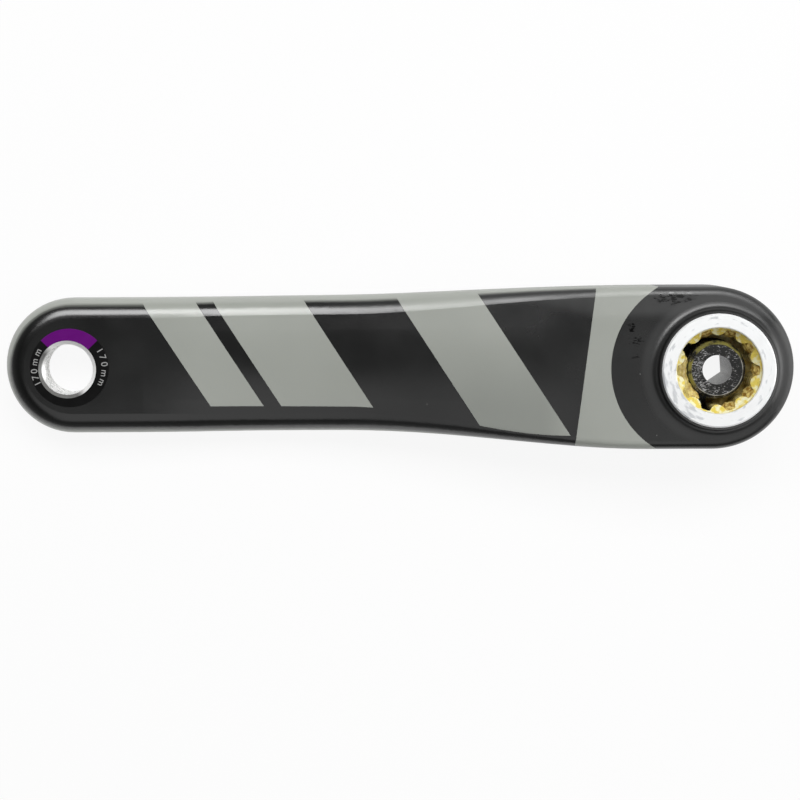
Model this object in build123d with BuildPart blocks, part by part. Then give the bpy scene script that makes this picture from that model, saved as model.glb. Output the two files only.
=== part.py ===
"""Left bicycle crank arm: a carbon moulding with a splined spindle insert and a captive bolt.

Millimetres. The origin is on the spindle axis, in the shoulder face that meets the bearing.
+Z points inboard, out of the spindle socket, and the pedal eye lies towards -X. The arm rests
on its outboard face.
"""

import os

from build123d import *

os.makedirs("parts", exist_ok=True)

# The arm in plan
CRANK_LENGTH = 170.0  # spindle axis to pedal axis
PEDAL_EYE_R = 18.0  # half the width of the slim end
PEDAL_NOSE = 16.8  # pedal axis to the tip of the arm
SPINDLE_EYE_R = 21.1  # half the width of the broad end
FLARE_START = 97.0  # where the sides start to spread, from the spindle axis
FLARE_END = 16.0  # where they reach the width of the spindle eye
PEDAL_SHIFT = 0.8  # how far the pedal eye's outline is off the line between the two axes
BOW = 1.35  # how far the middle of the arm bows off that line
BOW_AT = 78.0  # where it does so, from the spindle axis
SPINDLE_SHIFT = 0.45  # how far the spindle eye's outline is off it

# The arm in side view
ARM_DEPTH = 29.5  # shoulder face to the outboard face
PEDAL_THICKNESS = 13.3
FACE_DROP = 3.4  # shoulder face to the inboard face round the collar
RISE_START = 45.0  # where the inboard face starts to rise, from the pedal axis
RISE_END = 25.0  # where it is level again, from the spindle axis
HOLLOW_DEPTH = 1.6  # how far the outboard face lifts between the two eyes
HOLLOW_TO_PEDAL = 24.0  # from the pedal axis to the end of that hollow
HOLLOW_TO_SPINDLE = 26.0

# The arm in section: a crowned face, rounded long edges, and how finely the loft follows them
CROWN = 1.6  # how far the inboard face falls from its ridge to its long edges
CROWN_FADE = 24.0  # the length over which it grows from the level face of each eye
PEDAL_EDGE_R = 5.4  # inboard edge at the slim end
SPINDLE_EDGE_R = 2.2  # inboard edge at the spindle eye
OUTBOARD_EDGE_R = 5.0
PEDAL_EYE_LENGTH = 20.0  # level stretch from the pedal axis to the first section of the loft
SPINDLE_EYE_MARGIN = 0.3  # the collar's foot to the last section
STATIONS = 20

# The collar that the moulding raises round the spindle insert
COLLAR_DROP = 0.6  # shoulder face to the collar's lip
COLLAR_LIP = 0.6  # width of the lip
COLLAR_DRAFT = 0.25  # how far its wall leans out
COLLAR_FLARE = 2.1  # reach of the hollow curve at its foot
COLLAR_MARGIN = 0.1  # its foot to the rounded edge, at the tip of the arm
LIP_CHAMFER = 0.3

# The spindle insert
INSERT_R = 14.7
BOND_LINE = 0.05  # adhesive between an insert and the moulding
INSERT_SINK = 0.5  # insert below the outboard face
KEY_FLAT_DEPTH = 1.1  # flats that key an insert into the moulding
KEY_FLAT_MARGIN = 5.0  # round stretch left at each end of the flats
RING_CHAMFER = 0.4
MOUTH_R = 11.05
MOUTH_CHAMFER = 0.25
PILOT_DEPTH = 1.5
SPLINE_COUNT = 10
SPLINE_ROOT_R = 10.7
SPLINE_TIP_R = 9.0
LOBE_R = 2.2
LOBE_ROOT_FILLET = 0.4
WEB_THICKNESS = 4.0  # floor of the socket, which the bolt pulls on

# The captive bolt and what holds it
BOLT_THREAD_R = 7.5
BOLT_CLEARANCE = 0.25  # bolt to the hole in the web
BOLT_END_DROP = 4.5  # shoulder face to the bolt's end
BOLT_END_CHAMFER = 0.8
BOLT_HEX = 8.0  # across flats
BOLT_HEX_TURN = 4.0  # how far the bolt happens to be turned, degrees
BOLT_PILOT_R = 3.8
BOLT_PILOT_LENGTH = 1.4  # round hole left at the end of the hexagon
FLANGE_R = 11.2
FLANGE_THICKNESS = 2.4
FLANGE_PLAY = 0.1  # each side of the flange, so that the bolt turns
HEAD_R = 6.8
HEAD_HEIGHT = 3.5
HEAD_CLEARANCE = 0.4  # head to the ring and washer round it
HEAD_CHAMFER = 0.5
WASHER_THICKNESS = 1.0
WASHER_MARGIN = 0.6  # washers to the wall of the recess
RECESS_CLEARANCE = 0.8  # flange to the wall of the recess
FRICTION_THICKNESS = 0.5
CAP_WALL = 2.0  # metal left in the insert outside the cap
CAP_SINK = 1.4  # cap below the outboard face
CAP_THREAD_GAP = 0.05
CAP_THICKNESS = 4.0
CAP_CHAMFER = 0.4
CAP_PIN_R = 1.5
CAP_PIN_SHIFT = 0.05  # pin holes, outwards from the middle of the cap's ring

# The pedal insert and its label
PEDAL_INSERT_R = 9.5
PEDAL_THREAD_R = 6.6
PEDAL_CHAMFER = 1.0
PEDAL_KEY_MARGIN = 3.5
LABEL_R = 10.4
LABEL_HOLE_GAP = 0.05  # print to the edge of the thread's chamfer
LABEL_THICKNESS = 0.12
LABEL_SHIFT = (0.6, 0.4)  # the print sits a little off the hole

# What follows from them
OUTBOARD_Z = -ARM_DEPTH
PEDAL_FACE_Z = OUTBOARD_Z + PEDAL_THICKNESS
SPINDLE_FACE_Z = -FACE_DROP
COLLAR_R = INSERT_R + COLLAR_LIP
COLLAR_FOOT_R = COLLAR_R + COLLAR_DRAFT + COLLAR_FLARE
SPINDLE_NOSE = COLLAR_FOOT_R + COLLAR_MARGIN + SPINDLE_EDGE_R
PEDAL_ARC_X = PEDAL_EYE_R - PEDAL_NOSE - CRANK_LENGTH
SPINDLE_ARC_X = SPINDLE_NOSE - SPINDLE_EYE_R
FIRST_STATION = PEDAL_EYE_LENGTH - CRANK_LENGTH
LAST_STATION = -COLLAR_FOOT_R - SPINDLE_EYE_MARGIN
HOLLOW_FROM = HOLLOW_TO_PEDAL - CRANK_LENGTH
HOLLOW_MIDDLE = (HOLLOW_FROM - HOLLOW_TO_SPINDLE) / 2

# The bolt's stack, from the outboard face inwards
INSERT_END_Z = OUTBOARD_Z + INSERT_SINK
CAP_Z = OUTBOARD_Z + CAP_SINK
CAP_TOP_Z = CAP_Z + CAP_THICKNESS
FRICTION_TOP_Z = CAP_TOP_Z + FRICTION_THICKNESS
FLANGE_Z = FRICTION_TOP_Z + FLANGE_PLAY
FLANGE_TOP_Z = FLANGE_Z + FLANGE_THICKNESS
WASHER_Z = FLANGE_TOP_Z + FLANGE_PLAY
WEB_Z = WASHER_Z + WASHER_THICKNESS
SOCKET_FLOOR_Z = WEB_Z + WEB_THICKNESS
HEAD_Z = FLANGE_Z - HEAD_HEIGHT
BOLT_END_Z = -BOLT_END_DROP
RECESS_R = FLANGE_R + RECESS_CLEARANCE
WASHER_R = RECESS_R - WASHER_MARGIN
CAP_R = INSERT_R - CAP_WALL
CAP_HOLE_R = HEAD_R + HEAD_CLEARANCE
CAP_PIN_CIRCLE_R = (CAP_R + CAP_HOLE_R) / 2 + CAP_PIN_SHIFT


def ease(x, start, end):
    """A smooth step along the arm: 0 before start, 1 after end."""
    t = min(1, max(0, (x - start) / (end - start)))
    return t * t * (3 - 2 * t)


def half_width(x):
    return PEDAL_EYE_R + (SPINDLE_EYE_R - PEDAL_EYE_R) * ease(x, -FLARE_START, -FLARE_END)


def centre_y(x):
    out = (BOW - PEDAL_SHIFT) * ease(x, FIRST_STATION, -BOW_AT)
    back = (SPINDLE_SHIFT - BOW) * ease(x, -BOW_AT, LAST_STATION)
    return PEDAL_SHIFT + out + back


def inboard_z(x):
    rise = ease(x, RISE_START - CRANK_LENGTH, -RISE_END)
    return PEDAL_FACE_Z + (SPINDLE_FACE_Z - PEDAL_FACE_Z) * rise


def outboard_z(x):
    lift = ease(x, HOLLOW_FROM, HOLLOW_MIDDLE) - ease(x, HOLLOW_MIDDLE, -HOLLOW_TO_SPINDLE)
    return OUTBOARD_Z + HOLLOW_DEPTH * lift


def crown(x):
    grown = ease(x, FIRST_STATION, FIRST_STATION + CROWN_FADE)
    return CROWN * (grown - ease(x, -RISE_END - CROWN_FADE, -RISE_END))


def inboard_edge_r(x):
    return PEDAL_EDGE_R + (SPINDLE_EDGE_R - PEDAL_EDGE_R) * ease(x, -FLARE_START, -FLARE_END)


def eye(arc_x, joint_x, outward):
    """A round end of the arm, level from its tip to the section where the loft meets it."""
    radius = half_width(joint_x)
    with BuildPart() as end:
        with BuildSketch(Plane((0, centre_y(joint_x), OUTBOARD_Z))):
            with BuildLine():
                tip = ThreePointArc(
                    (arc_x, radius),
                    (arc_x + outward * radius, 0),
                    (arc_x, -radius),
                )
                Polyline(tip @ 1, (joint_x, -radius), (joint_x, radius), tip @ 0)
            make_face()
        extrude(amount=inboard_z(joint_x) - OUTBOARD_Z)
        inboard_rim = end.faces().sort_by(Axis.Z)[-1].edges().filter_by(Axis.Y, reverse=True)
        fillet(inboard_rim, inboard_edge_r(joint_x))
        outboard_rim = end.faces().sort_by(Axis.Z)[0].edges().filter_by(Axis.Y, reverse=True)
        fillet(outboard_rim, OUTBOARD_EDGE_R)
    return end.part


def keyed_bush(seat, radius, length, margin, gap=0.0):
    """A round bush standing on a plane, with two flats milled between its round ends."""
    flat = radius - KEY_FLAT_DEPTH + gap
    with BuildPart() as bush:
        with BuildSketch(seat):
            Circle(radius + gap)
        extrude(amount=length)
        with BuildSketch(seat.offset(margin + gap)):
            Circle(radius + 2 * gap)
            Rectangle(4 * radius, 2 * flat, mode=Mode.SUBTRACT)
        extrude(amount=length - 2 * (margin + gap), mode=Mode.SUBTRACT)
    return bush.part


def washer(inner, outer, low, high):
    """A flat ring round the spindle axis."""
    with BuildPart() as ring:
        with BuildSketch(Plane.XY.offset(low)):
            Circle(outer)
            Circle(inner, mode=Mode.SUBTRACT)
        extrude(amount=high - low)
    return ring.part


# Blanks of the two inserts, and the slightly larger pockets that they are bonded into
spindle_seat = Plane.XY.offset(INSERT_END_Z)
spindle_length = -INSERT_END_Z
spindle_blank = keyed_bush(spindle_seat, INSERT_R, spindle_length, KEY_FLAT_MARGIN)
spindle_pocket = keyed_bush(spindle_seat, INSERT_R, spindle_length, KEY_FLAT_MARGIN, BOND_LINE)
pedal_seat = Plane((-CRANK_LENGTH, 0, OUTBOARD_Z))
pedal_blank = keyed_bush(pedal_seat, PEDAL_INSERT_R, PEDAL_THICKNESS, PEDAL_KEY_MARGIN)
pedal_pocket = keyed_bush(pedal_seat, PEDAL_INSERT_R, PEDAL_THICKNESS, PEDAL_KEY_MARGIN, BOND_LINE)

# The moulding: a loft through rounded sections joins the two eyes, and a collar stands on one
pedal_eye = eye(PEDAL_ARC_X, FIRST_STATION, -1)
spindle_eye = eye(SPINDLE_ARC_X, LAST_STATION, 1)

with BuildPart() as crank_arm:
    for station in range(STATIONS + 1):
        x = FIRST_STATION + (LAST_STATION - FIRST_STATION) * station / STATIONS
        side, low, ridge = half_width(x), outboard_z(x), inboard_z(x)
        edge, shoulder = ridge - crown(x), ridge - crown(x) / 2
        across = Plane((x, centre_y(x), 0), x_dir=(0, 1, 0), z_dir=(1, 0, 0))
        with BuildSketch(across) as section:
            with BuildLine():
                top = Bezier((-side / 2, shoulder), (0, ridge), (side / 2, shoulder))
                Polyline(top @ 1, (side, edge), (side, low), (-side, low), (-side, edge), top @ 0)
            make_face()
            fillet(section.vertices().group_by(Axis.Y)[0], OUTBOARD_EDGE_R)
            walls = section.vertices().group_by(Axis.X)
            brows = [wall.sort_by(Axis.Y)[-1] for wall in (walls[0], walls[-1])]
            fillet(brows, inboard_edge_r(x))
    loft()
    add(pedal_eye)
    add(spindle_eye)

    lip_edge = Vector(COLLAR_R, -COLLAR_DROP - LIP_CHAMFER)
    foot = Vector(COLLAR_R + COLLAR_DRAFT, SPINDLE_FACE_Z)
    flare_top = foot + (lip_edge - foot).normalized() * COLLAR_FLARE
    collar_root_z = SPINDLE_FACE_Z - FACE_DROP
    with BuildSketch(Plane.XZ):
        with BuildLine():
            wall = Polyline(
                (0, -COLLAR_DROP),
                (COLLAR_R - LIP_CHAMFER, -COLLAR_DROP),
                lip_edge,
                flare_top,
            )
            flare = TangentArc(flare_top, (COLLAR_FOOT_R, SPINDLE_FACE_Z), tangent=wall % 1)
            Polyline(flare @ 1, (COLLAR_FOOT_R, collar_root_z), (0, collar_root_z), wall @ 0)
        make_face()
    revolve(axis=Axis.Z)

    add(spindle_pocket, mode=Mode.SUBTRACT)
    with BuildSketch(Plane.XY.offset(OUTBOARD_Z)):
        Circle(INSERT_R + BOND_LINE)
    extrude(amount=INSERT_SINK, mode=Mode.SUBTRACT)
    add(pedal_pocket, mode=Mode.SUBTRACT)

crank_arm.part.label = "crank_arm"
export_step(crank_arm.part, "parts/crank_arm.step")

# The spindle insert: lobed socket from the inboard side, bolt hole and cap recess from the other
with BuildPart() as spindle_insert:
    add(spindle_blank)
    ring_edge = spindle_insert.faces().sort_by(Axis.Z)[-1].edges()
    chamfer(ring_edge, RING_CHAMFER)

    with BuildSketch(Plane.XY.offset(SOCKET_FLOOR_Z)) as socket:
        Circle(SPLINE_ROOT_R)
        with PolarLocations(SPLINE_TIP_R + LOBE_R, SPLINE_COUNT, start_angle=90):
            Circle(LOBE_R, mode=Mode.SUBTRACT)
        fillet(socket.vertices(), LOBE_ROOT_FILLET)
    extrude(amount=-SOCKET_FLOOR_Z, mode=Mode.SUBTRACT)

    lead_in_z = -PILOT_DEPTH - (MOUTH_R - SPLINE_TIP_R)
    with BuildSketch(Plane.XZ):
        with BuildLine():
            Polyline(
                (0, 0),
                (MOUTH_R + MOUTH_CHAMFER, 0),
                (MOUTH_R, -MOUTH_CHAMFER),
                (MOUTH_R, -PILOT_DEPTH),
                (SPLINE_TIP_R, lead_in_z),
                (0, lead_in_z),
                close=True,
            )
        make_face()
    revolve(axis=Axis.Z, mode=Mode.SUBTRACT)

    with BuildSketch(Plane.XZ):
        with BuildLine():
            Polyline(
                (0, SOCKET_FLOOR_Z),
                (BOLT_THREAD_R + BOLT_CLEARANCE, SOCKET_FLOOR_Z),
                (BOLT_THREAD_R + BOLT_CLEARANCE, WEB_Z),
                (RECESS_R, WEB_Z),
                (RECESS_R, CAP_TOP_Z),
                (CAP_R + CAP_THREAD_GAP, CAP_TOP_Z),
                (CAP_R + CAP_THREAD_GAP, INSERT_END_Z),
                (0, INSERT_END_Z),
                close=True,
            )
        make_face()
    revolve(axis=Axis.Z, mode=Mode.SUBTRACT)

spindle_insert.part.label = "spindle_insert"
export_step(spindle_insert.part, "parts/spindle_insert.step")

# The captive bolt: threaded shank, flange and a low head, with a hexagon hole right through
with BuildPart() as crank_bolt:
    with BuildSketch(Plane.XZ):
        with BuildLine():
            Polyline(
                (0, BOLT_END_Z),
                (BOLT_THREAD_R - BOLT_END_CHAMFER, BOLT_END_Z),
                (BOLT_THREAD_R, BOLT_END_Z - BOLT_END_CHAMFER),
                (BOLT_THREAD_R, FLANGE_TOP_Z),
                (FLANGE_R, FLANGE_TOP_Z),
                (FLANGE_R, FLANGE_Z),
                (HEAD_R, FLANGE_Z),
                (HEAD_R, HEAD_Z + HEAD_CHAMFER),
                (HEAD_R - HEAD_CHAMFER, HEAD_Z),
                (0, HEAD_Z),
                close=True,
            )
        make_face()
    revolve(axis=Axis.Z)
    with BuildSketch(Plane.XY.offset(HEAD_Z)):
        RegularPolygon(BOLT_HEX / 2, 6, major_radius=False, rotation=30 + BOLT_HEX_TURN)
    extrude(amount=BOLT_END_Z - BOLT_PILOT_LENGTH - HEAD_Z, mode=Mode.SUBTRACT)
    Hole(BOLT_PILOT_R)

crank_bolt.part.label = "crank_bolt"
export_step(crank_bolt.part, "parts/crank_bolt.step")

# The washers on the two sides of the bolt's flange
thrust_washer = washer(BOLT_THREAD_R + HEAD_CLEARANCE, WASHER_R, WASHER_Z, WEB_Z)
thrust_washer.label = "thrust_washer"
export_step(thrust_washer, "parts/thrust_washer.step")

friction_washer = washer(CAP_HOLE_R, WASHER_R, CAP_TOP_Z, FRICTION_TOP_Z)
friction_washer.label = "friction_washer"
export_step(friction_washer, "parts/friction_washer.step")

# The threaded ring that keeps the bolt captive, with two holes for a pin spanner
with BuildPart() as extractor_cap:
    with BuildSketch(Plane.XY.offset(CAP_Z)):
        Circle(CAP_R)
        Circle(CAP_HOLE_R, mode=Mode.SUBTRACT)
        with PolarLocations(CAP_PIN_CIRCLE_R, 2):
            Circle(CAP_PIN_R, mode=Mode.SUBTRACT)
    extrude(amount=CAP_THICKNESS)
    outer_rims = extractor_cap.faces().sort_by(Axis.Z)[0].edges().filter_by(GeomType.CIRCLE)
    chamfer(outer_rims.sort_by(SortBy.RADIUS)[-1], CAP_CHAMFER)

extractor_cap.part.label = "extractor_cap"
export_step(extractor_cap.part, "parts/extractor_cap.step")

# The pedal insert: a keyed bush, bored to the crests of the pedal thread and chamfered both ends
with BuildPart() as pedal_insert:
    add(pedal_blank)
    with BuildSketch(pedal_seat):
        Circle(PEDAL_THREAD_R)
    extrude(amount=PEDAL_THICKNESS, mode=Mode.SUBTRACT)
    mouths = pedal_insert.edges().filter_by(GeomType.CIRCLE).group_by(SortBy.RADIUS)[0]
    chamfer(mouths, PEDAL_CHAMFER)

pedal_insert.part.label = "pedal_insert"
export_step(pedal_insert.part, "parts/pedal_insert.step")

# The printed ring round the pedal hole
with BuildPart() as size_label:
    label_x = LABEL_SHIFT[0] - CRANK_LENGTH
    with BuildSketch(Plane((label_x, LABEL_SHIFT[1], PEDAL_FACE_Z))):
        Circle(LABEL_R)
    extrude(amount=LABEL_THICKNESS)
    with BuildSketch(Plane((-CRANK_LENGTH, 0, PEDAL_FACE_Z))):
        Circle(PEDAL_THREAD_R + PEDAL_CHAMFER + LABEL_HOLE_GAP)
    extrude(amount=LABEL_THICKNESS, mode=Mode.SUBTRACT)

size_label.part.label = "size_label"
export_step(size_label.part, "parts/size_label.step")
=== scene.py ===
# %% [markdown]
# # A left bicycle crank arm
# The arm lies on its outboard face, so the camera sees the side that faces the frame: the pedal
# eye at the left, the splined spindle socket at the right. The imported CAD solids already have
# the right sizes and places, in metres, with the origin on the spindle axis. This file dresses
# them: it cuts the two fine threads that the solids leave out, packs the socket's grooves with
# grease, prints the size figures, and gives every surface its finish. Nothing here moves or
# reshapes a solid.

# %% Load the frame
import math

import bpy
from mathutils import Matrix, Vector


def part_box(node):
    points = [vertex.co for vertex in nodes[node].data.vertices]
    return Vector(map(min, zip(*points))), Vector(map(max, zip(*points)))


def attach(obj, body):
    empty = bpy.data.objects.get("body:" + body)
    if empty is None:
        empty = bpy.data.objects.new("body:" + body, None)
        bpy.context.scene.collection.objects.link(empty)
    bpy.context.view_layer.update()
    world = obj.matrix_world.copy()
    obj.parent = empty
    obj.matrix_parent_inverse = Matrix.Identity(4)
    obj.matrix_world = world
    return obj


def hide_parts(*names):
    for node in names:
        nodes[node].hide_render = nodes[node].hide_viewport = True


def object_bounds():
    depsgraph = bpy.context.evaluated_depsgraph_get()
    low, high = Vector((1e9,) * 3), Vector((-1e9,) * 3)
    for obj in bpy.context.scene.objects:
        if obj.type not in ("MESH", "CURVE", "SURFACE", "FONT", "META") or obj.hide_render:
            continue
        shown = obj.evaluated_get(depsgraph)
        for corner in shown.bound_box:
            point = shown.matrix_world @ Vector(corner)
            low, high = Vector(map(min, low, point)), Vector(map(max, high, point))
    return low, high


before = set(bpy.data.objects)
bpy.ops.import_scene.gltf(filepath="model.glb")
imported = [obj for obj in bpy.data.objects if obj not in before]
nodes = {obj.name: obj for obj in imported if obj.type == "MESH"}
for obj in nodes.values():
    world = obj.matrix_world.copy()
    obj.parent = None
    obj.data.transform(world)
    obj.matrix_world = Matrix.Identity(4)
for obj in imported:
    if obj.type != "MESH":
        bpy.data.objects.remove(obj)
solid_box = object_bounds()
MM = 0.001
print("solids:", ", ".join(sorted(nodes)))
print("size in mm:", [round((high - low) / MM, 1) for low, high in zip(*solid_box)])

# %% [markdown]
# ## The camera
# The photograph looks almost straight down on the arm. Two clues give the camera's place: the
# bolt deep in the socket is pushed to the upper left against the ring, and so is the far end of
# the hexagon hole. So the camera hangs above the middle of the arm, a little towards +Y. A
# camera with no rotation looks along -Z already, so a turn about X aims it and a slight one
# about Z sets the arm level.

# %% Camera
CAMERA_AT = Vector((-81.9, 37.35, 550.0)) * MM
AIM_Y = -7.14 * MM
ROLL = math.radians(-0.24)
VIEW_ANGLE = math.radians(21.1)
SENSOR = 36.0  # width in mm

camera = bpy.data.objects.new("camera", bpy.data.cameras.new("camera"))
bpy.context.scene.collection.objects.link(camera)
camera.data.sensor_width = SENSOR
camera.data.angle = VIEW_ANGLE
camera.location = CAMERA_AT
camera.rotation_euler = (math.atan2(AIM_Y - CAMERA_AT.y, CAMERA_AT.z), 0, ROLL)
bpy.context.scene.camera = camera
bpy.context.scene.view_settings.view_transform = "Standard"
print("lens in mm:", round(camera.data.lens, 1))

# %% [markdown]
# ## Building finishes from nodes
# Every finish below is a small program made of nodes, so it needs no picture files. A few
# helpers keep that readable: `put` adds a node and wires or sets its inputs in order, `calc`
# and its relatives do arithmetic, `soft_step` turns a distance into a soft edge, and `blend`
# mixes two colours. All patterns are placed in millimetres on the Object coordinates, which are
# the CAD coordinates, so a scuff or a paint edge sits where it was measured.

# %% Node helpers
NOISE_RANGE = (0.3, 0.7)  # nearly all values of a noise lie between these


def feed(tree, socket, value):
    """Links a computed value to a socket, or sets a plain one on it."""
    if isinstance(value, bpy.types.NodeSocket):
        tree.links.new(value, socket)
    else:
        socket.default_value = value


def put(tree, kind, *values, **settings):
    """Adds a shader node. Values go to its inputs in order, None leaves one as it is."""
    added = tree.nodes.new("ShaderNode" + kind)
    for key, value in settings.items():
        setattr(added, key, value)
    for socket, value in zip(added.inputs, values):
        if value is not None:
            feed(tree, socket, value)
    return added.outputs


def calc(tree, operation, *values):
    return put(tree, "Math", *values, operation=operation)[0]


def chain(tree, operation, first, *others):
    """One operation over any number of values, one after the other."""
    for other in others:
        first = calc(tree, operation, first, other)
    return first


def total(tree, *values):
    return chain(tree, "ADD", *values)


def product(tree, *values):
    return chain(tree, "MULTIPLY", *values)


def largest(tree, *values):
    return chain(tree, "MAXIMUM", *values)


def distance(tree, across, along):
    flat = put(tree, "CombineXYZ", across, along)[0]
    return put(tree, "VectorMath", flat, operation="LENGTH")[1]


def offset(tree, x, y, centre):
    """How far a place lies from a centre, along x and along y."""
    return calc(tree, "SUBTRACT", x, centre[0]), calc(tree, "SUBTRACT", y, centre[1])


def soft_step(tree, value, start, end, low=0.0, high=1.0):
    """low before start, high after end, and a smooth curve between them."""
    return put(
        tree, "MapRange", value, start, end, low, high, interpolation_type="SMOOTHSTEP"
    )[0]


def vary(tree, pattern, low=0.0, high=1.0):
    """Follows a noise softly from low to high."""
    return soft_step(tree, pattern, *NOISE_RANGE, low, high)


def blend(tree, amount, first, second):
    """The first colour where amount is 0, the second where it is 1."""
    other_kinds = [None] * 5  # the node's inputs for numbers and vectors
    return put(tree, "Mix", amount, *other_kinds, first, second, data_type="RGBA")[2]


def grain(tree, place, size, detail=3.0, stretch=None):
    """Cloudy noise whose blotches are about that many millimetres across."""
    if stretch:
        place = put(tree, "VectorMath", place, stretch, operation="MULTIPLY")[0]
    return put(tree, "TexNoise", place, None, 1 / size, detail)[0]


def colour(red, green, blue):
    return (red, green, blue, 1.0)


def new_finish(name):
    """A material, its node tree, its shader, and the Object coordinates in millimetres."""
    material = bpy.data.materials.new(name)
    material.use_nodes = True
    tree = material.node_tree
    metres = put(tree, "TexCoord")["Object"]
    place = put(tree, "VectorMath", metres, None, None, 1 / MM, operation="SCALE")[0]
    return material, tree, tree.nodes["Principled BSDF"], place


def drive(tree, shader, **sockets):
    """Feeds the shader's sockets, whose names are written in lower case with underscores."""
    for name, value in sockets.items():
        title = name.replace("_", " ").title().replace("Ior", "IOR")
        feed(tree, shader.inputs[title], value)


def relief(tree, shader, height, depth_mm):
    """Bump from a height of 0 to 1 that stands for that many millimetres."""
    bump = put(tree, "Bump", 1.0, depth_mm * MM, None, height)
    tree.links.new(bump[0], shader.inputs["Normal"])


def wear(piece, material):
    """The piece's only finish."""
    piece.data.materials.clear()
    piece.data.materials.append(material)


# %% [markdown]
# ## The light
# A product photographer lays a black part on white and lights it with wide soft boxes, because
# a dark satin surface shows little but reflections. The bright line along the upper edge is
# such a box seen in the rounding. A rounding that turns from the side to the face acts as a
# fan of small mirrors, so the line's place says where the box hangs: to the +Y side, about 34
# degrees off the vertical. A wide dim panel on the -Y side lifts the lower half of the face, a
# window at the right lights the flank of the collar, and the room is paler at the horizon than
# overhead.

# %% Lamps
MIDDLE = (-0.08, 0.0, -0.015)  # of the arm, in metres
SPINDLE = (0.0, 0.0, 0.0)
SKY = (0.0, 0.7)  # from the horizon upwards, as the sine of the height
SKY_GLOW = (0.22, 0.04)  # the room's strength at those two


def soft_box(name, at, aim, length, width, radiance):
    """A rectangular lamp of an even radiance, where 1 looks white."""
    data = bpy.data.lights.new(name, "AREA")
    data.shape = "RECTANGLE"
    data.size = length
    data.size_y = width
    data.energy = radiance * math.pi * length * width
    lamp = bpy.data.objects.new(name, data)
    bpy.context.scene.collection.objects.link(lamp)
    lamp.location = at
    lamp.rotation_euler = (Vector(aim) - Vector(at)).to_track_quat("-Z", "Y").to_euler()


soft_box("key_box", (-0.06, 0.60, 0.88), MIDDLE, length=1.2, width=0.52, radiance=6.2)
soft_box("low_side_box", (0.0, -0.49, 0.97), MIDDLE, length=1.3, width=0.88, radiance=0.50)
soft_box("right_window", (0.80, 0.0, 0.30), SPINDLE, length=0.6, width=0.6, radiance=3.2)

studio = bpy.data.worlds.new("studio")
studio.use_nodes = True
tree = studio.node_tree
upward = put(tree, "SeparateXYZ", put(tree, "TexCoord")["Generated"])[2]
glow = put(tree, "MapRange", upward, *SKY, *SKY_GLOW)[0]
drive(tree, tree.nodes["Background"], color=colour(1, 1, 1), strength=glow)
bpy.context.scene.world = studio

# %% [markdown]
# ## The floor
# The photograph's ground is blown out to pure white. A lamp strong enough for that would bleach
# the arm too, so the floor itself shines, but only for rays that come straight from the camera
# or from a reflection. All other rays meet plain white paper, and a small share of that paper
# stays in the mix, so the arm still throws its shadow.

# %% White floor
SHINE = 0.9  # share of its own light in the floor's look
FLOOR_SIZE = 6.0  # metres

bpy.ops.object.select_all(action="DESELECT")
bpy.ops.mesh.primitive_plane_add(size=FLOOR_SIZE, location=(0, 0, solid_box[0][2]))
floor = bpy.context.object
floor.name = "floor"

paper, tree, shader, _ = new_finish("white_paper")
drive(tree, shader, base_color=colour(0.86, 0.86, 0.86), roughness=0.9)
seen = put(tree, "LightPath")
mirrored = largest(tree, seen["Is Glossy Ray"], seen["Is Transmission Ray"])
direct = largest(tree, seen["Is Camera Ray"], mirrored)
glow = put(tree, "Emission", colour(1, 1, 1), 1.0)[0]
mixed = put(tree, "MixShader", product(tree, direct, SHINE), shader.outputs[0], glow)[0]
tree.links.new(mixed, tree.nodes["Material Output"].inputs["Surface"])
wear(floor, paper)
print("floor at z in mm:", round(solid_box[0][2] / MM, 2))

# %% [markdown]
# ## Lacquer and paint on the arm
# The moulding is carbon fibre under a satin black lacquer, with warm grey paint sprayed over
# masks. The side walls are grey, with a soft edge where the mask stood off the rounding. On the
# face there are slanted bands and a nearly upright stripe, and a round field at the spindle end
# stays black. Painting by formula beats unwrapping here: a band is a range of x plus a share of
# y, the field is a distance from its own centre, and the wall is the depth below the edge of
# the face, which rises along the arm by the same smooth step as in the solid.

# %% Where the paint is
RISE = (-125.0, -25.0)  # along x, where the inboard face climbs
FACE_Z = (-16.2, -3.4)  # its height before and after
CROWN = 1.6  # fall of the face from its ridge to its long edges
CROWN_GROWS = (-150.0, -126.0)
CROWN_FADES = (-49.0, -25.0)
HOLLOW = (-146.0, -86.0, -26.0)  # one end, the middle and the other end of the outboard hollow
HOLLOW_LIFT = 1.6
OUTBOARD_Z = -29.5
EDGES_Y = (-10.0, 10.0)  # near the lower and the upper long edge
PAINT_STARTS = (1.2, 0.7)  # depth on the wall at those edges where the paint starts
PAINT_COVERS = (3.4, 2.0)  # and where it covers
OUTBOARD_FADE = (0.8, 2.0)  # height above the outboard face where the paint starts and covers
FACE_DEPTH = 2.0  # what lies deeper isn't the face
SLANT = 0.65  # how far a band leans back for each millimetre of height
BANDS = ((-139, -125), (-120, -96), (-71.5, -49.5))
RAMP = (-170.0, 30.0)  # what the colour ramp covers
BANDS_STOP_X = (-95.0, -40.0)
BANDS_STOP_Y = (-10.0, -17.0)  # where the bands stop at the lower edge, before and after those
STRIPE = (-34.1, 0.13)  # where the stripe beside the spindle starts, and its lean
FIELD_CENTRE = (-3.2, 0.4)
FIELD_R = 24.3

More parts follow.
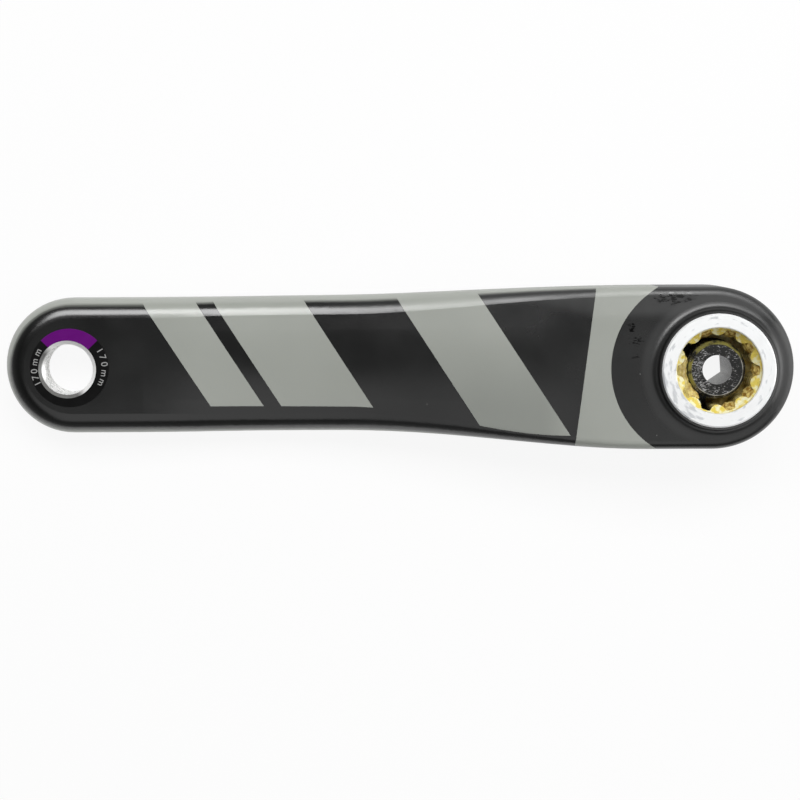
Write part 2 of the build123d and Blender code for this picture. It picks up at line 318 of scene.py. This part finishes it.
lacquer, tree, shader, place = new_finish("satin_lacquer")
x, y, z = put(tree, "SeparateXYZ", place)
ridge = soft_step(tree, x, *RISE, *FACE_Z)
grown = soft_step(tree, x, *CROWN_GROWS, 0, CROWN)
faded = soft_step(tree, x, *CROWN_FADES, 0, CROWN)
edge_height = calc(tree, "SUBTRACT", ridge, calc(tree, "SUBTRACT", grown, faded))
depth = calc(tree, "SUBTRACT", edge_height, z)
climb = soft_step(tree, x, *HOLLOW[:2], 0, HOLLOW_LIFT)
fall = soft_step(tree, x, *HOLLOW[1:], 0, HOLLOW_LIFT)
outboard_height = total(tree, calc(tree, "SUBTRACT", climb, fall), OUTBOARD_Z)
above_outboard = calc(tree, "SUBTRACT", z, outboard_height)
mask_start = soft_step(tree, y, *EDGES_Y, *PAINT_STARTS)
mask_end = soft_step(tree, y, *EDGES_Y, *PAINT_COVERS)
wall = product(
    tree,
    soft_step(tree, depth, mask_start, mask_end),
    soft_step(tree, above_outboard, *OUTBOARD_FADE),
)

ramp = tree.nodes.new("ShaderNodeValToRGB")
ramp.color_ramp.interpolation = "CONSTANT"
stops = ramp.color_ramp.elements
stops[0].color = colour(0, 0, 0)
stops.remove(stops[1])
for low, high in BANDS:
    for edge, shade in ((low, 1.0), (high, 0.0)):
        stop = stops.new((edge - RAMP[0]) / (RAMP[1] - RAMP[0]))
        stop.color = colour(shade, shade, shade)
lean = total(tree, x, product(tree, y, SLANT))
tree.links.new(put(tree, "MapRange", lean, *RAMP, 0.0, 1.0)[0], ramp.inputs["Fac"])
lower_edge = soft_step(tree, x, *BANDS_STOP_X, *BANDS_STOP_Y)
bands = product(tree, ramp.outputs["Color"], calc(tree, "GREATER_THAN", y, lower_edge))
upright = calc(tree, "SUBTRACT", x, product(tree, y, STRIPE[1]))
stripe = calc(tree, "GREATER_THAN", upright, STRIPE[0])
near_face = calc(tree, "LESS_THAN", depth, FACE_DEPTH)
on_face = product(tree, largest(tree, bands, stripe), near_face)

radius = distance(tree, *offset(tree, x, y, FIELD_CENTRE))
outside = product(
    tree,
    calc(tree, "GREATER_THAN", radius, FIELD_R),
    calc(tree, "LESS_THAN", x, FIELD_CENTRE[0]),
)
paint = product(tree, largest(tree, wall, on_face), outside)
print("bands:", len(BANDS), "nodes so far:", len(tree.nodes))

# %% [markdown]
# The lacquer itself is never one flat black. A faint cloudiness shifts its gloss, fine
# orange-peel from the spray gun ripples it, dust sits on it, and rubbing has left bare black
# scuffs beside the spindle eye. A scuff is a fine stretched noise that shows only inside an
# ellipse. Handling has dulled the nose, the collar and the upper edge near the spindle, and the
# paint is a little rougher than the lacquer, so each of these adds its share of roughness.

# %% Lacquer, scuffs and dust
LACQUER_IOR = 1.85
ELLIPSE_CORE = 0.35  # share of an ellipse's reach that counts in full
SCUFFS = (  # centre and reach of each
    ((-11.0, 18.6), (8.5, 2.4)),
    ((-22.3, 11.0), (1.6, 2.2)),
    ((-21.0, 7.6), (2.6, 1.6)),
    ((-21.3, 3.3), (1.8, 0.9)),
)
DUST_SPACING = 5.0
DUST_R = 0.035  # as a share of the spacing
DUST_MISSES = 0.72  # share of the places that stay clean


def ellipse(tree, x, y, centre, reach):
    """1 in the core of an ellipse about a point, fading to 0 at its rim."""
    across, along = offset(tree, x, y, centre)
    across = calc(tree, "DIVIDE", across, reach[0])
    along = calc(tree, "DIVIDE", along, reach[1])
    return soft_step(tree, distance(tree, across, along), ELLIPSE_CORE, 1.0, 1.0, 0.0)


scuff_region = largest(tree, *[ellipse(tree, x, y, *spot) for spot in SCUFFS])
rubbing = grain(tree, place, 0.8, 8.0, stretch=(0.6, 1.5, 1.0))
scuff = product(
    tree,
    soft_step(tree, total(tree, rubbing, product(tree, scuff_region, 0.2)), 0.60, 0.78),
    calc(tree, "GREATER_THAN", scuff_region, 0.02),
)

cells = put(tree, "TexVoronoi", place, None, 1 / DUST_SPACING)
chance = put(tree, "SeparateColor", cells["Color"])[0]
speck = product(
    tree,
    calc(tree, "LESS_THAN", cells["Distance"], DUST_R),
    calc(tree, "GREATER_THAN", chance, DUST_MISSES),
)

clouds = grain(tree, place, 14.0, 4.0)
fine = grain(tree, place, 0.35, 2.0)
black = blend(tree, clouds, colour(0.0020, 0.0022, 0.0020), colour(0.0040, 0.0044, 0.0042))
grey = blend(tree, clouds, colour(0.325, 0.340, 0.308), colour(0.345, 0.360, 0.326))
grey = blend(tree, product(tree, fine, 0.12), grey, colour(0.25, 0.26, 0.235))
# Painted shade: the grey is darkened towards the lower edge on the rising part of the face,
# where it tilts away from the lamps.
painted_shade_on_grey = product(
    tree,
    soft_step(tree, x, -90.0, -60.0),
    soft_step(tree, x, -36.0, -46.0),
    soft_step(tree, y, 12.0, -12.0, 0.0, 0.7),
)
grey = blend(tree, painted_shade_on_grey, grey, colour(0.225, 0.237, 0.215))
skin = blend(tree, paint, black, grey)
skin = blend(tree, scuff, skin, colour(0.0005, 0.0005, 0.0005))
skin = blend(tree, product(tree, speck, 0.5), skin, colour(0.30, 0.30, 0.29))

dull_nose = soft_step(tree, x, 13.0, 19.0, 0.0, 0.25)
dull_collar = soft_step(tree, distance(tree, x, y), 20.5, 18.5, 0.0, 0.10)
dull_half = soft_step(tree, x, -115.0, -60.0, 0.0, 0.04)
worn_edge = product(
    tree,
    soft_step(tree, x, -130.0, -30.0),
    soft_step(tree, y, 12.5, 16.0),
    soft_step(tree, depth, -0.40, 0.10),
    0.20,
)
gloss = total(
    tree,
    vary(tree, clouds, 0.20, 0.24),
    dull_nose,
    dull_collar,
    dull_half,
    worn_edge,
    product(tree, paint, 0.08),
    product(tree, scuff, -0.2),
)
peel = grain(tree, place, 1.6, 1.0)
height = total(
    tree, product(tree, peel, 0.5), product(tree, paint, 0.35), product(tree, scuff, -0.35)
)
drive(tree, shader, base_color=skin, roughness=gloss, ior=LACQUER_IOR)
relief(tree, shader, height, 0.006)
wear(nodes["crank_arm"], lacquer)
print("lacquer nodes:", len(tree.nodes))

# %% [markdown]
# ## The spindle insert
# A turned aluminium bush. Its face is bright, with fine rings from the lathe tool and grey
# scuffs where it rubbed on the bearing. Nearly everything inside the mouth is coated with
# assembly grease: thin and golden on the slanted lead-ins of the ten lobes, with pale spots that
# are painted highlights, and thick and brown in the grooves between them. Two grooves hold no
# grease, and their walls are painted near black as painted shade. The lead-ins lie on one cone,
# so the distance from that cone tells them from the rest.

# %% Turned face and greasy socket
MOUTH_R = 11.05
MOUTH_MARGIN = 0.15
GREASE_STARTS = (-0.15, -0.5)  # depth at which the clean face gives way to it
SOCKET_END = -20.5
LEAD_IN_Z = -1.5  # where the cone of the lead-ins starts
LATHE_R = 12.0  # radius at which the pattern isn't stretched
PAINTED_DARK_GROOVES = (144.0, 252.0)  # directions of the two grooves without grease, painted near black as painted shade
GROOVE_EDGE = (1.2, 1.9)  # from the middle of a groove, where the painted shade fades


def groove_at(tree, x, y, bearing):
    """1 along the groove that lies in this direction from the axis."""
    cosine, sine = math.cos(math.radians(bearing)), math.sin(math.radians(bearing))
    ahead = total(tree, product(tree, x, cosine), product(tree, y, sine))
    aside = total(tree, product(tree, y, cosine), product(tree, x, -sine))
    middle = soft_step(tree, calc(tree, "ABSOLUTE", aside), *GROOVE_EDGE, 1.0, 0.0)
    return product(tree, middle, calc(tree, "GREATER_THAN", ahead, 0.0))


turned, tree, shader, place = new_finish("turned_aluminium")
x, y, z = put(tree, "SeparateXYZ", place)
radius = distance(tree, x, y)
direction = calc(tree, "ARCTAN2", y, x)
polar = put(tree, "CombineXYZ", radius, product(tree, direction, LATHE_R), z)[0]
tool_rings = grain(tree, polar, 0.22, 2.0, stretch=(1.0, 0.02, 1.0))
smears = grain(tree, polar, 1.4, 5.0, stretch=(1.2, 0.45, 1.0))
worn_side = ellipse(tree, x, y, (-10.5, -6.0), (9.0, 12.0))
scuffed = soft_step(tree, total(tree, smears, product(tree, worn_side, 0.13)), 0.56, 0.72)
metal = blend(tree, tool_rings, colour(0.90, 0.91, 0.91), colour(0.955, 0.965, 0.965))
metal = blend(tree, product(tree, scuffed, 0.7), metal, colour(0.50, 0.515, 0.535))

inside = product(
    tree,
    calc(tree, "LESS_THAN", radius, MOUTH_R + MOUTH_MARGIN),
    soft_step(tree, z, *GREASE_STARTS),
    calc(tree, "GREATER_THAN", z, SOCKET_END),
)
below = calc(tree, "SUBTRACT", z, LEAD_IN_Z)
inward = calc(tree, "SUBTRACT", MOUTH_R, radius)
off_cone = calc(tree, "ABSOLUTE", total(tree, below, inward))
lead_in = soft_step(tree, off_cone, 0.06, 0.16, 1.0, 0.0)
clots = grain(tree, place, 1.5, 6.0)
thick = soft_step(tree, clots, 0.38, 0.56)
# Painted highlight: where the grease is not clotted, the golden film is painted near white for
# the glints on the lead-ins.
film_with_painted_glints = blend(tree, thick, colour(0.97, 0.95, 0.66), colour(0.86, 0.70, 0.14))
sludge = blend(tree, vary(tree, clots), colour(0.92, 0.79, 0.36), colour(0.62, 0.45, 0.11))
grease = blend(tree, lead_in, sludge, film_with_painted_glints)
# Painted shade: the walls of the two grooves without grease are painted near black, for the deep
# shadow in them.
painted_groove_shade = largest(tree, *[groove_at(tree, x, y, bearing) for bearing in PAINTED_DARK_GROOVES])
painted_groove_shade = product(tree, painted_groove_shade, calc(tree, "SUBTRACT", 1.0, lead_in))
grease = blend(tree, painted_groove_shade, grease, colour(0.012, 0.010, 0.007))
skin = blend(tree, inside, metal, grease)

gloss = total(tree, vary(tree, smears, 0.48, 0.60), product(tree, inside, -0.26))
lumps = product(tree, clots, total(tree, product(tree, inside, 6.0), 0.1))
height = total(tree, product(tree, tool_rings, 0.4), lumps)
shine = calc(tree, "SUBTRACT", 0.40, product(tree, inside, 0.30))
drive(tree, shader, base_color=skin, roughness=gloss, metallic=shine)
relief(tree, shader, height, 0.02)
wear(nodes["spindle_insert"], turned)
print("insert nodes:", len(tree.nodes))

# %% [markdown]
# ## Cutting a thread
# A thread is one groove that winds along a bore or a shank. The groove's cross-section is a
# small triangle, and the Screw modifier sweeps it round the Z axis while it climbs by one
# pitch a turn. A Boolean then takes that long wedge away from a copy of the plain solid, as the
# thread tool does, so the groove runs out by itself at the chamfers. A positive pitch climbs
# anticlockwise, which is a right-hand thread, and a negative one gives a left-hand thread.

# %% Thread tool
WELD = 0.001  # corners of a solid's triangles that lie closer than this are one
STEPS_A_TURN = 72
SMOOTH_BELOW = math.radians(35)  # sharper edges stay sharp


def only(piece):
    """Selects one object and makes it the active one."""
    bpy.ops.object.select_all(action="DESELECT")
    piece.select_set(True)
    bpy.context.view_layer.objects.active = piece


def copy_of(node, name):
    """A copy of a solid with its loose triangles joined, ready to be worked on."""
    piece = bpy.data.objects.new(name, nodes[node].data.copy())
    bpy.context.scene.collection.objects.link(piece)
    only(piece)
    bpy.ops.mesh.customdata_custom_splitnormals_clear()
    bpy.ops.object.mode_set(mode="EDIT")
    bpy.ops.mesh.select_all(action="SELECT")
    bpy.ops.mesh.remove_doubles(threshold=WELD * MM)
    bpy.ops.object.mode_set(mode="OBJECT")
    return piece


def groove_tool(centre, open_r, root_r, half_width, pitch, turns, start_z):
    """A wedge wound into a helix: open_r is where the groove opens, root_r its bottom."""
    bpy.ops.object.select_all(action="DESELECT")
    bpy.ops.mesh.primitive_circle_add(vertices=3, radius=MM, location=(0, 0, 0))
    tool = bpy.context.object
    corners = ((open_r, -half_width), (open_r, half_width), (root_r, 0.0))
    for corner, (r, up) in zip(tool.data.vertices, corners):
        corner.co = Vector((r, 0, start_z + up)) * MM
    winding = tool.modifiers.new("winding", "SCREW")
    winding.screw_offset = pitch * MM
    winding.iterations = turns
    winding.steps = winding.render_steps = STEPS_A_TURN
    winding.use_merge_vertices = False
    bpy.ops.object.modifier_apply(modifier=winding.name)
    bpy.ops.object.mode_set(mode="EDIT")
    bpy.ops.mesh.select_mode(type="EDGE")
    bpy.ops.mesh.select_all(action="DESELECT")
    bpy.ops.mesh.select_non_manifold()
    bpy.ops.mesh.fill_holes(sides=3)
    bpy.ops.mesh.select_all(action="SELECT")
    bpy.ops.mesh.normals_make_consistent(inside=False)
    bpy.ops.transform.translate(value=Vector(centre) * MM)
    bpy.ops.object.mode_set(mode="OBJECT")
    return tool


def cut(piece, tool):
    """Takes the tool's volume away from the piece and throws the tool away."""
    only(piece)
    cutting = piece.modifiers.new("cutting", "BOOLEAN")
    cutting.operation = "DIFFERENCE"
    cutting.solver = "EXACT"
    cutting.object = tool
    bpy.ops.object.modifier_apply(modifier=cutting.name)
    bpy.data.objects.remove(tool)
    bpy.ops.object.shade_smooth_by_angle(angle=SMOOTH_BELOW)
    print(piece.name, "faces:", len(piece.data.polygons))


# %% [markdown]
# ## The pedal bush
# Pedals screw in at 20 threads to the inch, and on the left arm the thread is left-handed, so
# that riding doesn't undo it. The solid has a plain bore at the height of the thread's crests.
# The aluminium is bare and bright. One side of the mouth is painted dark, partly for grime and
# oxide and partly as painted shade.

# %% Left-hand pedal thread
PEDAL_AXIS = (-170.0, 0.0, 0.0)
PEDAL_PITCH = 25.4 / 20
MOUTH_Z = (-17.5, -17.0)  # the chamfer at the mouth starts here

bush = copy_of("pedal_insert", "pedal_bush")
tap = groove_tool(
    PEDAL_AXIS,
    open_r=6.45,
    root_r=7.14,
    half_width=0.60,
    pitch=-PEDAL_PITCH,
    turns=13,
    start_z=-15.1,
)
cut(bush, tap)
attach(bush, "arm")
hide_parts("pedal_insert")

bare, tree, shader, place = new_finish("bare_cut_aluminium")
x, y, z = put(tree, "SeparateXYZ", place)
stain = grain(tree, place, 3.0, 4.0)
scratch = grain(tree, place, 0.25, 3.0, stretch=(0.3, 0.3, 3.0))
skin = blend(tree, stain, colour(0.93, 0.93, 0.92), colour(0.985, 0.985, 0.975))
# Painted shade: the lower left of the mouth is painted dark grey, partly for grime and oxide and
# partly for the shadow at the label's edge.
upper_right = total(tree, x, -PEDAL_AXIS[0], product(tree, y, 0.8))
grime_and_painted_shade = soft_step(tree, upper_right, 1.0, -3.0)
mouth = soft_step(tree, z, *MOUTH_Z)
skin = blend(tree, product(tree, grime_and_painted_shade, mouth, 0.93), skin, colour(0.10, 0.10, 0.095))
shine = soft_step(tree, mouth, 0.0, 1.0, 0.5, 0.0)
gloss = vary(tree, scratch, 0.22, 0.36)
drive(tree, shader, base_color=skin, metallic=shine, roughness=gloss)
relief(tree, shader, scratch, 0.004)
wear(bush, bare)

# %% [markdown]
# ## The captive bolt
# A hollow steel bolt with a 1 mm pitch, blackened and oily. Its end face is mottled where the
# coating has worn to bright specks. Olive grease clings to the upper rim and the first threads.
# A light grey line on the lower right of the rim is a painted highlight, and the hexagon's flats
# are grey steel, painted lighter below and darker above as painted shade. It turns in the
# socket, so it rides on its own body.

# %% Bolt thread and finish
HEX_R = (4.62, 4.72)  # what lies inside this radius
HEX_Z = (-4.56, -4.62)  # and below this height is the hexagon hole

bolt = copy_of("crank_bolt", "threaded_bolt")
die = groove_tool(
    (0, 0, 0), open_r=7.62, root_r=6.92, half_width=0.47, pitch=1.0, turns=17, start_z=-20.3
)
cut(bolt, die)
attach(bolt, "bolt")
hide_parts("crank_bolt")

blackened, tree, shader, place = new_finish("blackened_steel")
x, y, z = put(tree, "SeparateXYZ", place)
radius = distance(tree, x, y)
upper_left = calc(tree, "SUBTRACT", y, product(tree, x, 0.7))
mottle = grain(tree, place, 0.36, 6.0, stretch=(0.7, 1.6, 1.0))
patches = grain(tree, place, 2.4, 3.0)
worn_left = product(tree, x, -0.008)  # the left of the end face is worn more
worn = soft_step(tree, total(tree, product(tree, patches, 0.5), worn_left, mottle), 0.79, 1.0)
skin = blend(tree, patches, colour(0.002, 0.002, 0.002), colour(0.009, 0.009, 0.0085))
skin = blend(tree, product(tree, worn, 0.9), skin, colour(0.55, 0.55, 0.56))

thread_grease = product(
    tree,
    soft_step(tree, radius, 6.45, 6.8),
    soft_step(tree, patches, 0.34, 0.56),
    soft_step(tree, z, -9.0, -6.0),
    soft_step(tree, upper_left, -2.5, 1.5),
)
olive = blend(tree, mottle, colour(0.08, 0.08, 0.02), colour(0.40, 0.36, 0.09))
skin = blend(tree, thread_grease, skin, olive)
# Painted highlight: a light grey line on the lower right of the rim, where the chamfer catches
# the light.
painted_rim_highlight = product(
    tree,
    soft_step(tree, radius, 6.50, 6.62),
    soft_step(tree, radius, 6.82, 6.70),
    soft_step(tree, upper_left, 0.5, -2.5),
    soft_step(tree, patches, 0.40, 0.52, 0.25, 0.8),
)
skin = blend(tree, painted_rim_highlight, skin, colour(0.44, 0.44, 0.42))

flats = product(tree, soft_step(tree, radius, *HEX_R, 1.0, 0.0), soft_step(tree, z, *HEX_Z))
# Painted shade: the lower flats of the hexagon are painted light grey and the upper ones dark,
# with patches of random tone.
painted_flat_shade = total(tree, soft_step(tree, y, -1.6, 0.4, 0.0, 0.7), product(tree, patches, 0.3))
flat_with_painted_shade = blend(tree, painted_flat_shade, colour(0.175, 0.175, 0.17), colour(0.030, 0.030, 0.029))
skin = blend(tree, flats, skin, flat_with_painted_shade)
shine = product(tree, largest(tree, worn, flats), 0.9)
gloss = vary(tree, mottle, 0.30, 0.48)
drive(tree, shader, base_color=skin, metallic=shine, roughness=gloss)
relief(tree, shader, total(tree, mottle, product(tree, worn, -0.4)), 0.03)
wear(bolt, blackened)

# %% [markdown]
# ## Grease in the grooves
# When a spindle is pushed in, assembly grease is squeezed out of the spline. It stays in the
# grooves between the lobes as glossy plugs, and as a bank along one side of the bolt. Noise in
# a material can't stand proud of a wall, so the grease is real geometry. One bead starts as a
# sphere, and copies of it are stretched, tilted and set in the grooves. A voxel Remesh melts
# the copies that touch into one skin, Displace makes it uneven, and Smooth takes off the steps.

# %% Grease plugs
GREASY_GROOVES = (0, 36, 72, 108, 180, 216, 288, 324)  # bearings of the grooves that hold grease
PLUG = {"radius": 10.75, "height": -3.8, "reach": (1.05, 2.5, 3.2), "tilt": 31}
BANK_BEARINGS = (168, 178, 188, 198, 208, 218, 227)  # along the bolt
BANK = {"radius": 8.75, "height": -4.7, "reach": (1.2, 1.9, 0.6), "tilt": -42}
MELT_SIZE = 0.24
LUMP_SIZE = 0.9
LUMP_HEIGHT = 0.6


def grease_bead(bead, bearing, radius, height, reach, tilt):
    """A copy of the bead at a bearing. reach is its half size outwards, along the rim and up."""
    piece = bpy.data.objects.new("grease_bead", bead.data.copy())
    bpy.context.scene.collection.objects.link(piece)
    turn = math.radians(bearing)
    piece.scale = reach
    piece.rotation_euler = (0, math.radians(tilt), turn)
    piece.location = Vector((radius * math.cos(turn), radius * math.sin(turn), height)) * MM
    return piece


def joined(pieces, name):
    """The pieces as one object at the origin, unturned and unscaled."""
    only(pieces[0])
    for piece in pieces:
        piece.select_set(True)
    bpy.ops.object.join()
    bpy.ops.object.transform_apply(location=True, rotation=True, scale=True)
    pieces[0].name = name
    return pieces[0]


bpy.ops.object.select_all(action="DESELECT")
bpy.ops.mesh.primitive_uv_sphere_add(segments=24, ring_count=14, radius=MM, location=(0, 0, 0))
bead = bpy.context.object
beads = [grease_bead(bead, bearing, **PLUG) for bearing in GREASY_GROOVES]
beads += [grease_bead(bead, bearing, **BANK) for bearing in BANK_BEARINGS]
bpy.data.objects.remove(bead)
groove_grease = joined(beads, "groove_grease")

melt = groove_grease.modifiers.new("melt", "REMESH")
melt.mode = "VOXEL"
melt.voxel_size = MELT_SIZE * MM
clouds = bpy.data.textures.new("lumps", "CLOUDS")
clouds.noise_scale = LUMP_SIZE * MM
uneven = groove_grease.modifiers.new("uneven", "DISPLACE")
uneven.texture = clouds
uneven.strength = LUMP_HEIGHT * MM
soften = groove_grease.modifiers.new("soften", "SMOOTH")
soften.iterations = 3
for modifier in ("melt", "uneven", "soften"):
    bpy.ops.object.modifier_apply(modifier=modifier)
bpy.ops.object.shade_smooth()
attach(groove_grease, "arm")

paste, tree, shader, place = new_finish("assembly_grease")
x, _, _ = put(tree, "SeparateXYZ", place)
clots = grain(tree, place, 1.1, 5.0)
thick = soft_step(tree, clots, 0.38, 0.62)
skin = blend(tree, thick, colour(0.76, 0.61, 0.21), colour(0.29, 0.16, 0.030))
thin_side = soft_step(tree, x, -5.0, -9.0, 0.0, 0.6)
skin = blend(tree, thin_side, skin, colour(0.42, 0.36, 0.12))
drive(tree, shader, base_color=skin, roughness=vary(tree, clots, 0.10, 0.24))
relief(tree, shader, grain(tree, place, 0.5, 3.0), 0.10)
wear(groove_grease, paste)
print("grease faces:", len(groove_grease.data.polygons))

# %% [markdown]
# ## Cap and washers on the far side
# The cap that keeps the bolt in is turned and black anodised, with bare metal showing at its
# worn rims. Behind it sit a plain steel washer and a thin nylon one. The cap's lathe rings are
# a noise that changes with the radius and not with the direction.

# %% Cap and washers
CAP_RIM = (12.15, 12.6)  # radius where the outer rim's wear starts and is full
CAP_HOLE = (7.2, 7.5)  # the same from the hole outwards, full first

anodised, tree, shader, place = new_finish("black_anodising")
x, y, z = put(tree, "SeparateXYZ", place)
radius = distance(tree, x, y)
rings = put(tree, "TexNoise", put(tree, "CombineXYZ", radius, 0.0, z)[0], None, 9.0, 2.0)[0]
rub = grain(tree, place, 1.5, 5.0)
rims = largest(
    tree, soft_step(tree, radius, *CAP_RIM), soft_step(tree, radius, *CAP_HOLE, 1.0, 0.0)
)
worn = product(tree, rims, soft_step(tree, rub, 0.52, 0.62))
skin = blend(tree, rub, colour(0.016, 0.016, 0.018), colour(0.030, 0.030, 0.033))
skin = blend(tree, worn, skin, colour(0.55, 0.55, 0.56))
drive(tree, shader, base_color=skin, metallic=0.6, roughness=vary(tree, rub, 0.30, 0.42))
relief(tree, shader, rings, 0.012)
wear(nodes["extractor_cap"], anodised)

steel, tree, shader, place = new_finish("oily_washer_steel")
rub = grain(tree, place, 1.8, 4.0)
skin = blend(tree, rub, colour(0.34, 0.335, 0.32), colour(0.56, 0.56, 0.555))
drive(tree, shader, base_color=skin, metallic=1.0, roughness=vary(tree, rub, 0.24, 0.40))
relief(tree, shader, rub, 0.01)
wear(nodes["thrust_washer"], steel)

nylon, tree, shader, place = new_finish("white_washer_nylon")
rub = grain(tree, place, 2.5, 4.0)
skin = blend(tree, rub, colour(0.72, 0.70, 0.62), colour(0.80, 0.79, 0.74))
gloss = vary(tree, rub, 0.42, 0.55)
drive(tree, shader, base_color=skin, roughness=gloss, subsurface_weight=0.15)
relief(tree, shader, rub, 0.01)
wear(nodes["friction_washer"], nylon)
print("far side:", anodised.name, steel.name, nylon.name)

# %% [markdown]
# ## The size ring
# Round the pedal hole is a thin printed ring: black, with a purple arc at the top that codes
# the crank length, and the length in millimetres on both sides. The arc is a range of
# directions from the ring's own centre, which is printed a little off the hole.

# %% Printed ring
RING_CENTRE = (-169.4, 0.4)
ARC = (math.radians(44.0), math.radians(135.5))

printed, tree, shader, place = new_finish("printed_ring")
x, y, _ = put(tree, "SeparateXYZ", place)
across, along = offset(tree, x, y, RING_CENTRE)
direction = calc(tree, "ARCTAN2", along, across)
purple = product(
    tree,
    calc(tree, "GREATER_THAN", direction, ARC[0]),
    calc(tree, "LESS_THAN", direction, ARC[1]),
)
blotch = grain(tree, place, 2.0, 4.0)
black = blend(tree, blotch, colour(0.0025, 0.0025, 0.0025), colour(0.0050, 0.0050, 0.0050))
ink = blend(tree, blotch, colour(0.108, 0.0015, 0.148), colour(0.124, 0.003, 0.172))
skin = blend(tree, purple, black, ink)
gloss = vary(tree, blotch, 0.42, 0.52)
drive(tree, shader, base_color=skin, roughness=gloss, specular_ior_level=0.1)
relief(tree, shader, grain(tree, place, 0.5, 2.0), 0.008)
wear(nodes["size_label"], printed)
print("ring nodes:", len(tree.nodes))

# %% [markdown]
# Figures are added as text objects, one a character, because each is turned to stand on the
# ring. A text object becomes a mesh before it is moved, and the characters of one side are
# joined into one piece.

# %% Size figures
FIGURE_R = 9.25
FIGURE_SIZE = 2.5
INK_EXTRUDE = 0.006  # each way from the middle of a figure
INK_LIFT = 0.004  # from the label to that middle
LEFT_FIGURES = ((206, "1"), (196, "7"), (185, "0"), (170, "m"), (153, "m"))
RIGHT_FIGURES = ((29.5, "1"), (18, "7"), (6, "0"), (-9, "m"), (-25, "m"))
label_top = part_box("size_label")[1].z


def figures(name, characters):
    """Characters standing round the ring, tops outwards, joined into one thin mesh."""
    made = []
    for bearing, character in characters:
        bpy.ops.object.select_all(action="DESELECT")
        bpy.ops.object.text_add(location=(0, 0, 0))
        figure = bpy.context.object
        figure.data.body = character
        figure.data.size = FIGURE_SIZE * MM
        figure.data.extrude = INK_EXTRUDE * MM
        figure.data.align_x = "CENTER"
        figure.data.align_y = "CENTER"
        bpy.ops.object.convert(target="MESH")
        turn = math.radians(bearing)
        figure.rotation_euler = (0, 0, turn - math.pi / 2)
        figure.location = (
            (RING_CENTRE[0] + FIGURE_R * math.cos(turn)) * MM,
            (RING_CENTRE[1] + FIGURE_R * math.sin(turn)) * MM,
            label_top + INK_LIFT * MM,
        )
        made.append(figure)
    piece = joined(made, name)
    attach(piece, "arm")
    print(name, "faces:", len(piece.data.polygons))
    return piece


pale_ink, tree, shader, place = new_finish("pale_ink")
fade = grain(tree, place, 0.5, 4.0)
skin = blend(tree, fade, colour(0.24, 0.24, 0.24), colour(0.46, 0.46, 0.455))
drive(tree, shader, base_color=skin, roughness=vary(tree, fade, 0.42, 0.55))
for name, characters in (("left_figures", LEFT_FIGURES), ("right_figures", RIGHT_FIGURES)):
    wear(figures(name, characters), pale_ink)
